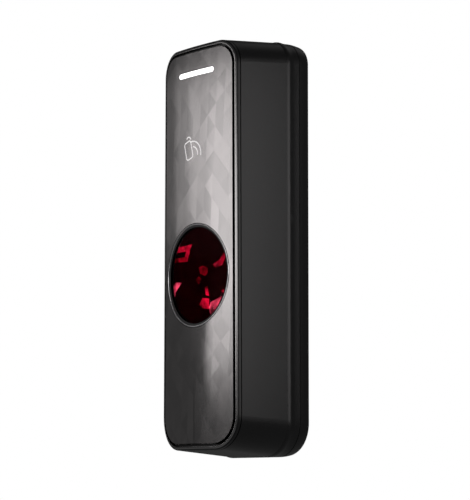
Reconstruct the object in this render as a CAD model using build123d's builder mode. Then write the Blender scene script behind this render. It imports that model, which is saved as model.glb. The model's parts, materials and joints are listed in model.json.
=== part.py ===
"""Slim wall reader for contactless cards, with a round optical finger window.

Units are millimetres.  +X is right as seen by the person using it, +Z is up and -Y points
out of the wall.  The origin is the centre of the bracket's wall face, so every depth below
is a distance from the wall, measured along -Y.
"""

import os
from math import radians, sin, sqrt

from build123d import *

# ---- casing -----------------------------------------------------------------------------
DEPTH = 38.4  # wall to the crown of the front
REAR_GAP = 0.5  # shadow gap between the wall and the rear rim
REAR_HALF_WIDTH_TOP = 25.6
REAR_HALF_WIDTH_BOTTOM = 25.3
REAR_TOP = 81.3
REAR_BOTTOM = -82.5
REAR_RADIUS_TOP = 9.5
REAR_RADIUS_BOTTOM = 14.0
FRONT_HALF_WIDTH_TOP = 24.0
FRONT_HALF_WIDTH_BOTTOM = 24.71
FRONT_TOP = 78.7
FRONT_BOTTOM = -79.0
FRONT_RADIUS_TOP = 10.0
FRONT_RADIUS_BOTTOM = 12.8
CROWN_RADIUS = 130.0  # the front bulges about a vertical axis
REAR_ROUND_DEPTH = 12.0  # soft rear rounding, measured along the depth
REAR_ROUND_INSET = 2.2  # and measured inwards
ROUND_STEP = 15  # degrees between the sections of that rounding
WALL = 2.2
TALL = 200.0  # longer than the casing, for tools that cut right through

# ---- front, as distances behind the crown ------------------------------------------------
PLATE_FRONT = 0.1
PLATE_BACK = 1.4
TRIM_FRONT = 0.2
SEAT = 1.6  # the surface that the tape and the trim sit on
SHOULDER = 2.0  # end of the shadow groove behind the trim
PANEL_BACK = 4.6
GROOVE_INSET = 0.75
TRIM_WIDTH = 1.34
BEVEL_WIDTH = 0.9
BEVEL_DEPTH = 0.5
PLATE_INSET = 2.34
TAPE_INSET = 2.7
TAPE_WIDTH = 2.4
SLIP = 0.05  # gap around parts that drop into an opening

# ---- rear cover ---------------------------------------------------------------------------
COVER_FACE = 2.2  # depth of the face that the bracket lies behind
COVER_INSIDE = 4.2
SEAM = 6.0
GASKET = 0.4
GASKET_INSET = 0.6

# ---- wall bracket -------------------------------------------------------------------------
STEEL = 1.5
BRACKET_HALF_WIDTH = 19.5
BRACKET_HALF_HEIGHT = 74.5
BRACKET_CORNER = 4.0
RECESS_GAP = 0.8
WALL_SCREW_SPACING = 83.3
WALL_SCREW_RADIUS = 2.2
CABLE_Z = 20.0
CABLE_WINDOW = (22.0, 28.0)
SERVICE_Z = -60.0
SERVICE_WINDOW = (28.0, 12.0)
HOOK_X = 11.0
HOOK_WIDTH = 7.0
HOOK_FOOT = 2.1  # steel below the bar
HOOK_LIP = 1.9  # steel in front of the bar
HOOK_RISE = 1.9  # how far the hook stands above the bar's axis
BAR_RADIUS = 1.25
BAR_CLEARANCE = 0.05
BAR_DEPTH = 4.2
BAR_Z = 72.5
BAR_HALF_LENGTH = 17.2
BAR_CHAMFER = 0.25
HOOK_CHAMFER = 1.0
WINDOW_CORNER = 3.0

# ---- bottom fixing ------------------------------------------------------------------------
FIXING_DEPTH = 5.2
TAB_HALF_WIDTH = 7.0
TAB_REACH = 8.0
TAB_TOP = -73.0
SHANK_RADIUS = 1.5
SHANK_GAP = 0.3
TOWER_RADIUS = 6.0
POCKET_RADIUS = 4.2
TOWER_TOP = -65.5
TOWER_BOTTOM = -78.3
INSERT_RADIUS = 2.1
INSERT_BOTTOM = -72.6
INSERT_TOP = -66.6
WASHER_RADIUS = 3.4
WASHER_THICK = 0.6
HEAD_RADIUS = 2.75
HEAD_HEIGHT = 2.2
HEX_RADIUS = 1.25
HEX_DEPTH = 1.3
INSERT_MARGIN = 0.4  # how far the screw's tip stays inside the insert

# ---- finger window ------------------------------------------------------------------------
WINDOW_Z = -11.6
RING_RADIUS = 20.14
WINDOW_RADIUS = 18.8
GLASS_FRONT = 0.5  # distances behind the crown
GLASS_BACK = 1.7
PRISM_FRONT = 2.0
COLLAR_FRONT = 2.2
RING_BACK = 33.5  # depths from here on
SEAL_WIDTH = 1.4
COLLAR_SHOULDER = 33.0
HOLDER_BACK = 20.0
HOLDER_REAR_RADIUS = 16.0
WELL_REAR_RADIUS = 13.0
PRISM_BACK = 24.0
PRISM_REAR_RADIUS = 9.0
PRISM_RADIUS = 16.8
LUG_OFFSET = 16.8
LUG_RADIUS = 4.0
POST_RADIUS = 3.0
LUG_BACK = 28.0
LUG_THICK = 2.0
LEG_OFFSET = 12.5
LEG_RADIUS = 2.0
LEG_ROOT = 6.0  # how far a leg runs into the holder
LAMP_BOARD_THICK = 1.6
LAMP_CIRCLE = 10.0
LAMP_COUNT = 6
LAMP_SIDE = 2.2
LAMP_HEIGHT = 1.1
LAMP_BOARD_RADIUS = 13.0
LAMP_BOARD_HOLE = 7.0
CAMERA_BOARD_BACK = 12.0
CAMERA_BOARD_THICK = 1.4
CAMERA_BOARD_SIDE = 30.0
BARREL_RADIUS = 6.5
BARREL_BORE = 5.0
BARREL_THROAT = 3.5
BARREL_FRONT = 22.5
BARREL_SOCKET = (8.4, 8.4)
BARREL_SOCKET_DEPTH = 1.6
LENS_SEAT = 3.0  # behind the barrel's front
LENS_THICK = 1.4
LENS_ROUND = 1.0
SENSOR_CHIP = (8.0, 8.0)
SENSOR_CHIP_THICK = 1.0

# ---- light bar ----------------------------------------------------------------------------
LIGHT_Z = 67.9
LIGHT_LENGTH = 22.6
LIGHT_HEIGHT = 2.0
LIGHT_BACK = 31.5
LIGHT_CORNER = 0.99
LIGHT_LEDS = (-8.0, 0.0, 8.0)
LIGHT_LED = (2.0, 1.2)
LIGHT_LED_HEIGHT = 0.7

# ---- circuit boards -----------------------------------------------------------------------
BOARD_BACK = 9.0
BOARD_THICK = 1.6
BOARD_FRONT = BOARD_BACK + BOARD_THICK
BOARD_HALF_WIDTH = 15.0
BOARD_TOP = 60.0
BOARD_BOTTOM = -64.0
BOARD_CABLE_HOLE = 7.0
BOARD_SCREW_X = 12.0
BOARD_SCREW_Z = (56.0, -53.2)
ANTENNA_BACK = 29.6
ANTENNA_THICK = 1.0
ANTENNA_FRONT = ANTENNA_BACK + ANTENNA_THICK
ANTENNA_HALF_WIDTH = 15.4
ANTENNA_BOTTOM = 14.0
ANTENNA_TOP = 72.0
ANTENNA_SCREW_X = 13.0
ANTENNA_SCREW_Z = (16.6, 62.6)
COIL_TURNS = 5
COIL_PITCH = 1.6
COIL_TRACK = 0.8
COIL_THICK = 0.1
COIL_MARGIN_X = 3.2  # from the screw centres to the outer turn
COIL_MARGIN_Z = 1.5

# ---- small screws -------------------------------------------------------------------------
SMALL_SHANK = 1.0
SMALL_HEAD = 1.8
SMALL_HEAD_HEIGHT = 1.0
COVER_SCREW_X = 18.4
COVER_SCREW_Z = 56.0
COVER_SHANK = 1.15
COVER_HEAD = 2.4
COLUMN_RADIUS = 2.6
COLUMN_ROOT = 0.5  # how far a column runs into the panel behind the plate
HOLE_GAP = 0.1
HEX_DEPTH_SHARE = 0.6  # of the head's height
HEX_RADIUS_SHARE = 0.45  # of the head's radius

# ---- rear switches ------------------------------------------------------------------------
SWITCH_X = 7.0
PLUNGER_RADIUS = 1.5
BUTTON_RADIUS = 1.9
RUNNING_GAP = 0.06
TAMPER_TIP = 0.2
RESET_TIP = 2.4
FLANGE_THICK = 0.6
FLANGE_WIDTH = 0.7
FLANGE_GAP = 0.1
SWITCH_SIDE = 7.6
SWITCH_BACK = 5.6

# ---- parts on the main board: (width, height, thickness) and (x, z) ------------------------
PROCESSOR = (12.0, 12.0, 1.4)
PROCESSOR_PLACE = (4.0, 42.0)
MEMORY = (8.0, 6.0, 1.1)
MEMORY_X = 9.5
MEMORY_Z = 31.0
CELL_RADIUS = 5.0
CELL_THICK = 2.2
CELL_PLACE = (-9.0, 43.0)
CELL_ROUND = 0.5
PIN_HEADER = (10.2, 2.5, 2.5)
PIN_HEADER_Z = 53.0
PIN_COUNT = 4
PIN_PITCH = 2.54
PIN_RADIUS = 0.3
PIN_GAP = 0.02
BRIDGE = (14.0, 3.6)
CAN = (22.0, 7.5, 3.0)
CAN_SHEET = 0.3
CAN_Z = -32.5
RADIO = (5.0, 5.0, 1.0)
RELAY = (10.0, 13.0, 10.0)
RELAY_PLACE = (-9.0, -44.0)
TRANSFORMER = (12.0, 10.0, 6.0)
TRANSFORMER_PLACE = (2.6, -43.5)
BUZZER_RADIUS = 4.5
BUZZER_HEIGHT = 5.0
BUZZER_PORT = 0.9
BUZZER_PLACE = (4.0, -57.0)
CABLE_HEADER = (22.0, 5.5, 7.0)
CABLE_HEADER_Z = 9.0
CABLE_HEADER_WALL = 0.8
CABLE_HEADER_FLOOR = 1.5
CABLE_PIN_COUNT = 8
CABLE_PIN_PITCH = 2.5
CABLE_PIN_RADIUS = 0.32
CABLE_PIN_LENGTH = 4.5
GROMMET_RADIUS = 5.0
GROMMET_BORE = 3.0
GROMMET_FLANGE = 6.4
GROMMET_LIP = 1.0


def at_depth(depth):
    """Plane parallel to the wall, facing out of it."""
    return Plane.XZ.offset(depth)


def mix(rear, front, depth):
    """Value between the rear and the front outline at this depth."""
    share = (depth - REAR_GAP) / (DEPTH - REAR_GAP)
    return rear + (front - rear) * share


def rear_inset(depth):
    """How far the rear rounding has drawn the outline in at this depth: a quarter ellipse."""
    into = max(0.0, REAR_GAP + REAR_ROUND_DEPTH - depth) / REAR_ROUND_DEPTH
    return REAR_ROUND_INSET * (1 - sqrt(max(0.0, 1 - into**2)))


def section(depth, inset):
    """Sketch of the casing's outline at this depth, moved inwards by inset."""
    top = mix(REAR_HALF_WIDTH_TOP, FRONT_HALF_WIDTH_TOP, depth) - inset
    bottom = mix(REAR_HALF_WIDTH_BOTTOM, FRONT_HALF_WIDTH_BOTTOM, depth) - inset
    high = mix(REAR_TOP, FRONT_TOP, depth) - inset
    low = mix(REAR_BOTTOM, FRONT_BOTTOM, depth) + inset
    radius_top = mix(REAR_RADIUS_TOP, FRONT_RADIUS_TOP, depth) - inset
    radius_bottom = mix(REAR_RADIUS_BOTTOM, FRONT_RADIUS_BOTTOM, depth) - inset
    with BuildSketch(at_depth(depth)) as outline:
        with BuildLine():
            Polyline(
                (-bottom, low),
                (bottom, low),
                (top, high),
                (-top, high),
                close=True,
            )
        make_face()
        fillet(outline.vertices().sort_by(Axis.Y)[:2], radius_bottom)
        fillet(outline.vertices().sort_by(Axis.Y)[-2:], radius_top)
    return outline.sketch


def crown(set_back, mode):
    """Cylinder whose skin is the front's crown, set_back behind it."""
    with Locations((0, CROWN_RADIUS - DEPTH, 0)):
        Cylinder(CROWN_RADIUS - set_back, TALL, mode=mode)


def casing_block(inset, set_back):
    """Solid casing shape: rounded rear, tapered sides and crowned front."""
    straight = REAR_GAP + REAR_ROUND_DEPTH
    rounding = []
    for step in range(90, -1, -ROUND_STEP):
        depth = straight - REAR_ROUND_DEPTH * sin(radians(step))
        rounding.append(section(depth, inset + rear_inset(depth)))
    with BuildPart() as block:
        loft(rounding)
        loft([section(straight, inset), section(DEPTH, inset)], ruled=True)
        crown(set_back, Mode.INTERSECT)
    return block.part


def slab(back, front, width, height, x=0.0, z=0.0, corner=0.0, mode=Mode.ADD):
    """Box parallel to the wall, between two depths."""
    with BuildSketch(at_depth(back)) as outline:
        with Locations((x, z)):
            if corner:
                RectangleRounded(width, height, corner)
            else:
                Rectangle(width, height)
    extrude(outline.sketch, amount=front - back, mode=mode)


def disc(back, front, radius, x=0.0, z=0.0, mode=Mode.ADD):
    """Round bar square to the wall, between two depths."""
    with BuildSketch(at_depth(back)) as outline:
        with Locations((x, z)):
            Circle(radius)
    extrude(outline.sketch, amount=front - back, mode=mode)


def cone(back, front, rear_radius, front_radius, mode=Mode.ADD):
    """Round taper on the finger window's axis, between two depths."""
    ends = []
    for depth, radius in ((back, rear_radius), (front, front_radius)):
        with BuildSketch(at_depth(depth)) as outline:
            with Locations((0, WINDOW_Z)):
                Circle(radius)
        ends.append(outline.sketch)
    loft(ends, mode=mode)


def upright(bottom, top, radius, depth, mode=Mode.ADD):
    """Round bar along Z at x = 0."""
    with BuildSketch(Plane.XY.offset(bottom)) as outline:
        with Locations((0, -depth)):
            Circle(radius)
    extrude(outline.sketch, amount=top - bottom, mode=mode)


def four_corners(x, heights):
    """The four places (+-x, each height)."""
    return [(side * x, z) for side in (-1, 1) for z in heights]


def screws(places, seat, head_radius, head_height, shank_radius, tip, toward):
    """Group of screws whose heads stand on the depth seat; toward is +1 for heads in front."""
    for x, z in places:
        head_end = seat + toward * head_height
        disc(min(seat, head_end), max(seat, head_end), head_radius, x, z)
        disc(min(seat, tip), max(seat, tip), shank_radius, x, z)
        socket = head_end - toward * head_height * HEX_DEPTH_SHARE
        with BuildSketch(at_depth(min(socket, head_end))) as hexagon:
            with Locations((x, z)):
                RegularPolygon(head_radius * HEX_RADIUS_SHARE, 6)
        extrude(hexagon.sketch, amount=abs(head_end - socket), mode=Mode.SUBTRACT)


def save(builder, name):
    """Label a finished piece and write it."""
    builder.part.label = name
    export_step(builder.part, f"parts/{name}.step")


os.makedirs("parts", exist_ok=True)

lug_places = four_corners(LUG_OFFSET, (WINDOW_Z - LUG_OFFSET, WINDOW_Z + LUG_OFFSET))
leg_places = four_corners(LEG_OFFSET, (WINDOW_Z - LEG_OFFSET, WINDOW_Z + LEG_OFFSET))
cover_places = four_corners(COVER_SCREW_X, (-COVER_SCREW_Z, COVER_SCREW_Z))
board_places = four_corners(BOARD_SCREW_X, BOARD_SCREW_Z)
antenna_places = four_corners(ANTENNA_SCREW_X, ANTENNA_SCREW_Z)
wall_screw_places = [(0, side * WALL_SCREW_SPACING / 2) for side in (-1, 1)]

# ---- wall bracket: plate, two hooks for the bar and a slotted tab at the bottom -----------
hook_base = BAR_Z - BAR_RADIUS - BAR_CLEARANCE - HOOK_FOOT
hook_top = BAR_Z + HOOK_RISE
hook_front = BAR_DEPTH + BAR_RADIUS + BAR_CLEARANCE + HOOK_LIP
cup_radius = BAR_RADIUS + BAR_CLEARANCE
with BuildPart() as wall_bracket:
    slab(0, STEEL, 2 * BRACKET_HALF_WIDTH, 2 * BRACKET_HALF_HEIGHT, corner=BRACKET_CORNER)
    slab(0, STEEL, *CABLE_WINDOW, z=CABLE_Z, corner=WINDOW_CORNER, mode=Mode.SUBTRACT)
    slab(0, STEEL, *SERVICE_WINDOW, z=SERVICE_Z, corner=WINDOW_CORNER, mode=Mode.SUBTRACT)
    for x, z in wall_screw_places:
        disc(0, STEEL, WALL_SCREW_RADIUS, x, z, mode=Mode.SUBTRACT)
    for side in (-1, 1):
        with BuildSketch(Plane.YZ.offset(side * HOOK_X - HOOK_WIDTH / 2)):
            with BuildLine():
                Polyline(
                    (0, hook_base),
                    (-hook_front + HOOK_CHAMFER, hook_base),
                    (-hook_front, hook_base + HOOK_CHAMFER),
                    (-hook_front, hook_top),
                    (-BAR_DEPTH - cup_radius, hook_top),
                    (-BAR_DEPTH - cup_radius, BAR_Z),
                )
                RadiusArc((-BAR_DEPTH - cup_radius, BAR_Z), (-BAR_DEPTH + cup_radius, BAR_Z), -cup_radius)
                Polyline(
                    (-BAR_DEPTH + cup_radius, BAR_Z),
                    (-STEEL, BAR_Z + cup_radius),
                    (0, BAR_Z + cup_radius),
                    (0, hook_base),
                )
            make_face()
        extrude(amount=HOOK_WIDTH)
    slab(0, TAB_REACH, 2 * TAB_HALF_WIDTH, STEEL, z=TAB_TOP - STEEL / 2)
    with BuildSketch(Plane.XY.offset(TAB_TOP - STEEL)):
        with Locations((0, -FIXING_DEPTH)):
            Circle(SHANK_RADIUS + SHANK_GAP)
        with Locations((0, -(FIXING_DEPTH + TAB_REACH) / 2)):
            Rectangle(2 * (SHANK_RADIUS + SHANK_GAP), TAB_REACH - FIXING_DEPTH)
    extrude(amount=STEEL, mode=Mode.SUBTRACT)
save(wall_bracket, "wall_bracket")

with BuildPart() as hook_bar:
    with BuildSketch(Plane.YZ.offset(-BAR_HALF_LENGTH)):
        with Locations((-BAR_DEPTH, BAR_Z)):
            Circle(BAR_RADIUS)
    extrude(amount=2 * BAR_HALF_LENGTH)
    chamfer(hook_bar.edges().filter_by(GeomType.CIRCLE), BAR_CHAMFER)
save(hook_bar, "hook_bar")

# ---- casing shells ------------------------------------------------------------------------
outer_shape = casing_block(0, SHOULDER)
seat_shape = casing_block(GROOVE_INSET, SEAT)
cavity_shape = casing_block(WALL, PANEL_BACK)
panel_rear = DEPTH - PANEL_BACK

with BuildPart() as front_housing:
    add(outer_shape)
    add(seat_shape)
    add(cavity_shape, mode=Mode.SUBTRACT)
    split(bisect_by=at_depth(SEAM + GASKET), keep=Keep.TOP)
    for x, z in cover_places:
        disc(SEAM - 0.2, panel_rear - COLUMN_ROOT, COLUMN_RADIUS, x, z)
        disc(SEAM - 0.2, 15, COVER_SHANK, x, z, mode=Mode.SUBTRACT)
    for x, z in lug_places:
        disc(LUG_BACK + LUG_THICK, panel_rear - COLUMN_ROOT, POST_RADIUS, x, z)
        disc(LUG_BACK + LUG_THICK, panel_rear - 0.8, SMALL_SHANK, x, z, mode=Mode.SUBTRACT)
    for x, z in antenna_places:
        disc(ANTENNA_FRONT, panel_rear - COLUMN_ROOT, COLUMN_RADIUS - 0.4, x, z)
        disc(ANTENNA_FRONT, panel_rear - 0.2, SMALL_SHANK, x, z, mode=Mode.SUBTRACT)
    disc(SEAM, DEPTH, RING_RADIUS + SLIP, z=WINDOW_Z, mode=Mode.SUBTRACT)
    slab(
        panel_rear - 3,
        DEPTH,
        LIGHT_LENGTH + 2 * SLIP,
        LIGHT_HEIGHT + 2 * SLIP,
        z=LIGHT_Z,
        corner=LIGHT_CORNER + SLIP,
        mode=Mode.SUBTRACT,
    )
    upright(-TALL / 2, TOWER_TOP, POCKET_RADIUS, FIXING_DEPTH, mode=Mode.SUBTRACT)
save(front_housing, "front_housing")

pocket_wall = 1.2
pocket_width = HOOK_WIDTH + 3
pocket_bottom = hook_base - 2
pocket_top = hook_top + 2
pocket_height = pocket_top - pocket_bottom
pocket_z = (pocket_top + pocket_bottom) / 2
pocket_front = hook_front + 2
with BuildPart() as rear_cover:
    add(outer_shape)
    add(cavity_shape, mode=Mode.SUBTRACT)
    split(bisect_by=at_depth(SEAM), keep=Keep.BOTTOM)
    extrude(section(COVER_FACE, WALL), amount=COVER_INSIDE - COVER_FACE)
    for x, z in four_corners(HOOK_X, (pocket_z,)):
        slab(
            COVER_FACE,
            pocket_front + pocket_wall,
            pocket_width + 2 * pocket_wall,
            pocket_height + 2 * pocket_wall,
            x,
            z,
        )
    for x, z in wall_screw_places:
        disc(COVER_FACE, BOARD_BACK - 0.6, 6.4, x, z)
    for x, z in cover_places:
        disc(COVER_FACE, SEAM - 0.3, COVER_HEAD + 1, x, z)
    for x, z in board_places:
        disc(COVER_FACE, BOARD_BACK, COLUMN_RADIUS, x, z)
    upright(TOWER_BOTTOM, TOWER_TOP, TOWER_RADIUS, FIXING_DEPTH)
    slab(-SEAM, REAR_GAP, TALL, TALL, mode=Mode.SUBTRACT)
    disc(COVER_FACE, SEAM, BOARD_CABLE_HOLE, z=CABLE_Z)
    # recess for the bracket, and everything that is open to the wall
    slab(
        0,
        COVER_FACE,
        2 * (BRACKET_HALF_WIDTH + RECESS_GAP),
        2 * (BRACKET_HALF_HEIGHT + RECESS_GAP),
        corner=BRACKET_CORNER,
        mode=Mode.SUBTRACT,
    )
    for x, z in four_corners(HOOK_X, (pocket_z,)):
        slab(0, pocket_front, pocket_width, pocket_height, x, z, mode=Mode.SUBTRACT)
    for x, z in wall_screw_places:
        disc(0, BOARD_BACK - 1.6, 5.4, x, z, mode=Mode.SUBTRACT)
    for x, z in cover_places:
        disc(0, COVER_FACE + 1.5, COVER_HEAD + 0.2, x, z, mode=Mode.SUBTRACT)
        disc(0, SEAM, COVER_SHANK + 0.15, x, z, mode=Mode.SUBTRACT)
    for x, z in board_places:
        disc(COVER_INSIDE + 0.4, BOARD_BACK, SMALL_SHANK, x, z, mode=Mode.SUBTRACT)
    disc(0, SEAM, 5, z=CABLE_Z, mode=Mode.SUBTRACT)
    disc(0, SEAM, PLUNGER_RADIUS + RUNNING_GAP, SWITCH_X, SERVICE_Z, mode=Mode.SUBTRACT)
    disc(0, SEAM, BUTTON_RADIUS + RUNNING_GAP, -SWITCH_X, SERVICE_Z, mode=Mode.SUBTRACT)
    with BuildSketch(Plane.YZ.offset(-BAR_HALF_LENGTH)):
        with Locations((-BAR_DEPTH, BAR_Z)):
            Circle(BAR_RADIUS)
    extrude(amount=2 * BAR_HALF_LENGTH, mode=Mode.SUBTRACT)
    upright(-TALL / 2, INSERT_BOTTOM, POCKET_RADIUS, FIXING_DEPTH, mode=Mode.SUBTRACT)
    upright(INSERT_BOTTOM, INSERT_TOP, INSERT_RADIUS, FIXING_DEPTH, mode=Mode.SUBTRACT)
    slab(
        0,
        TAB_REACH + 1,
        2 * TAB_HALF_WIDTH + 1.6,
        INSERT_BOTTOM - TAB_TOP + STEEL + 0.8,
        z=(INSERT_BOTTOM + TAB_TOP - STEEL - 0.8) / 2,
        mode=Mode.SUBTRACT,
    )
save(rear_cover, "rear_cover")

with BuildPart() as housing_gasket:
    extrude(section(SEAM, GASKET_INSET), amount=GASKET)
    extrude(section(SEAM, WALL), amount=GASKET, mode=Mode.SUBTRACT)
    upright(-TALL / 2, TOWER_TOP, POCKET_RADIUS, FIXING_DEPTH, mode=Mode.SUBTRACT)
save(housing_gasket, "housing_gasket")

# ---- front: trim, plate, tape and light bar -----------------------------------------------
trim_outer = casing_block(0, TRIM_FRONT)
trim_inner = casing_block(TRIM_WIDTH, 0)
plate_shape = casing_block(PLATE_INSET, PLATE_FRONT)
tape_outer = casing_block(TAPE_INSET, PLATE_BACK)
tape_inner = casing_block(TAPE_INSET + TAPE_WIDTH, 0)

with BuildPart() as trim_frame:
    add(trim_outer)
    add(trim_inner, mode=Mode.SUBTRACT)
    crown(SEAT, Mode.SUBTRACT)
    round_faces = trim_frame.faces().filter_by(GeomType.CYLINDER)
    trim_face = round_faces.sort_by(lambda face: abs(face.radius - CROWN_RADIUS + TRIM_FRONT))[0]
    chamfer(trim_face.outer_wire().edges(), BEVEL_DEPTH, BEVEL_WIDTH)
save(trim_frame, "trim_frame")

with BuildPart() as front_plate:
    add(plate_shape)
    crown(PLATE_BACK, Mode.SUBTRACT)
    disc(0, DEPTH, RING_RADIUS + SLIP, z=WINDOW_Z, mode=Mode.SUBTRACT)
    slab(
        0,
        DEPTH,
        LIGHT_LENGTH + 2 * SLIP,
        LIGHT_HEIGHT + 2 * SLIP,
        z=LIGHT_Z,
        corner=LIGHT_CORNER + SLIP,
        mode=Mode.SUBTRACT,
    )
save(front_plate, "front_plate")

with BuildPart() as plate_tape:
    add(tape_outer)
    add(tape_inner, mode=Mode.SUBTRACT)
    crown(SEAT, Mode.SUBTRACT)
    disc(0, DEPTH, RING_RADIUS + SLIP, z=WINDOW_Z, mode=Mode.SUBTRACT)
save(plate_tape, "plate_tape")

with BuildPart() as light_bar:
    slab(LIGHT_BACK, DEPTH, LIGHT_LENGTH, LIGHT_HEIGHT, z=LIGHT_Z, corner=LIGHT_CORNER)
    crown(PLATE_FRONT, Mode.INTERSECT)
save(light_bar, "light_bar")

with BuildPart() as status_leds:
    for x in LIGHT_LEDS:
        slab(ANTENNA_FRONT, ANTENNA_FRONT + LIGHT_LED_HEIGHT, *LIGHT_LED, x, LIGHT_Z)
save(status_leds, "status_leds")

# ---- finger window and the camera behind it -----------------------------------------------
inner_radius = WINDOW_RADIUS - SLIP
with BuildPart() as sensor_ring:
    disc(RING_BACK, DEPTH, RING_RADIUS, z=WINDOW_Z)
    disc(RING_BACK, DEPTH, WINDOW_RADIUS, z=WINDOW_Z, mode=Mode.SUBTRACT)
    crown(0, Mode.INTERSECT)
save(sensor_ring, "sensor_ring")

with BuildPart() as sensor_window:
    disc(RING_BACK, DEPTH, inner_radius, z=WINDOW_Z)
    crown(GLASS_FRONT, Mode.INTERSECT)
    crown(GLASS_BACK, Mode.SUBTRACT)
save(sensor_window, "sensor_window")

with BuildPart() as window_seal:
    disc(RING_BACK, DEPTH, inner_radius, z=WINDOW_Z)
    disc(RING_BACK, DEPTH, inner_radius - SEAL_WIDTH, z=WINDOW_Z, mode=Mode.SUBTRACT)
    crown(GLASS_BACK, Mode.INTERSECT)
    crown(COLLAR_FRONT, Mode.SUBTRACT)
save(window_seal, "window_seal")

with BuildPart() as sensor_holder:
    disc(COLLAR_SHOULDER, DEPTH, inner_radius, z=WINDOW_Z)
    crown(COLLAR_FRONT, Mode.INTERSECT)
    cone(HOLDER_BACK, LUG_BACK, HOLDER_REAR_RADIUS, RING_RADIUS)
    disc(LUG_BACK, COLLAR_SHOULDER, RING_RADIUS, z=WINDOW_Z)
    for x, z in lug_places:
        disc(LUG_BACK, LUG_BACK + LUG_THICK, LUG_RADIUS, x, z)
    for x, z in leg_places:
        disc(CAMERA_BOARD_BACK + CAMERA_BOARD_THICK, HOLDER_BACK + LEG_ROOT, LEG_RADIUS, x, z)
    cone(HOLDER_BACK, RING_BACK, WELL_REAR_RADIUS, PRISM_RADIUS + SLIP, mode=Mode.SUBTRACT)
    disc(RING_BACK, DEPTH, PRISM_RADIUS + SLIP, z=WINDOW_Z, mode=Mode.SUBTRACT)
    for x, z in lug_places:
        disc(LUG_BACK, LUG_BACK + LUG_THICK, SMALL_SHANK + HOLE_GAP, x, z, mode=Mode.SUBTRACT)
    for x, z in leg_places:
        disc(0, HOLDER_BACK - 2, SMALL_SHANK, x, z, mode=Mode.SUBTRACT)
save(sensor_holder, "sensor_holder")

with BuildPart() as sensor_prism:
    disc(RING_BACK, DEPTH, PRISM_RADIUS, z=WINDOW_Z)
    crown(PRISM_FRONT, Mode.INTERSECT)
    cone(PRISM_BACK, RING_BACK, PRISM_REAR_RADIUS, PRISM_RADIUS)
save(sensor_prism, "sensor_prism")

with BuildPart() as lamp_board:
    lamp_back = HOLDER_BACK - LAMP_BOARD_THICK
    disc(lamp_back, HOLDER_BACK, LAMP_BOARD_RADIUS, z=WINDOW_Z)
    disc(lamp_back, HOLDER_BACK, LAMP_BOARD_HOLE, z=WINDOW_Z, mode=Mode.SUBTRACT)
    for x, z in leg_places:
        disc(0, HOLDER_BACK, LEG_RADIUS + 2 * HOLE_GAP, x, z, mode=Mode.SUBTRACT)
save(lamp_board, "lamp_board")

with BuildPart() as sensor_leds:
    with BuildSketch(at_depth(HOLDER_BACK)):
        with Locations((0, WINDOW_Z)):
            with PolarLocations(LAMP_CIRCLE, LAMP_COUNT):
                Rectangle(LAMP_SIDE, LAMP_SIDE)
    extrude(amount=LAMP_HEIGHT)
save(sensor_leds, "sensor_leds")

camera_front = CAMERA_BOARD_BACK + CAMERA_BOARD_THICK
with BuildPart() as camera_board:
    slab(CAMERA_BOARD_BACK, camera_front, CAMERA_BOARD_SIDE, CAMERA_BOARD_SIDE, z=WINDOW_Z, corner=2)
    for x, z in leg_places:
        disc(CAMERA_BOARD_BACK, camera_front, SMALL_SHANK + HOLE_GAP, x, z, mode=Mode.SUBTRACT)
save(camera_board, "camera_board")

with BuildPart() as image_sensor:
    slab(camera_front, camera_front + SENSOR_CHIP_THICK, *SENSOR_CHIP, z=WINDOW_Z)
save(image_sensor, "image_sensor")

lens_back = BARREL_FRONT - LENS_SEAT
with BuildPart() as lens_barrel:
    disc(camera_front, BARREL_FRONT, BARREL_RADIUS, z=WINDOW_Z)
    socket_front = camera_front + BARREL_SOCKET_DEPTH
    slab(camera_front, socket_front, *BARREL_SOCKET, z=WINDOW_Z, mode=Mode.SUBTRACT)
    disc(camera_front, BARREL_FRONT, BARREL_THROAT, z=WINDOW_Z, mode=Mode.SUBTRACT)
    disc(lens_back, BARREL_FRONT, BARREL_BORE, z=WINDOW_Z, mode=Mode.SUBTRACT)
save(lens_barrel, "lens_barrel")

with BuildPart() as lens:
    disc(lens_back, lens_back + LENS_THICK, BARREL_BORE, z=WINDOW_Z)
    fillet(lens.edges().filter_by(GeomType.CIRCLE).sort_by(Axis.Y)[0], LENS_ROUND)
save(lens, "lens")

with BuildPart() as holder_screws:
    screws(lug_places, LUG_BACK, SMALL_HEAD, SMALL_HEAD_HEIGHT, SMALL_SHANK, LUG_BACK + 3.6, -1)
save(holder_screws, "holder_screws")

with BuildPart() as camera_screws:
    screws(leg_places, CAMERA_BOARD_BACK, SMALL_HEAD, SMALL_HEAD_HEIGHT, SMALL_SHANK, HOLDER_BACK - 3, -1)
save(camera_screws, "camera_screws")

# ---- card antenna -------------------------------------------------------------------------
with BuildPart() as antenna_board:
    slab(
        ANTENNA_BACK,
        ANTENNA_FRONT,
        2 * ANTENNA_HALF_WIDTH,
        ANTENNA_TOP - ANTENNA_BOTTOM,
        z=(ANTENNA_TOP + ANTENNA_BOTTOM) / 2,
        corner=3,
    )
    for x, z in antenna_places:
        disc(ANTENNA_BACK, ANTENNA_FRONT, SMALL_SHANK + HOLE_GAP, x, z, mode=Mode.SUBTRACT)
save(antenna_board, "antenna_board")

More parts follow.
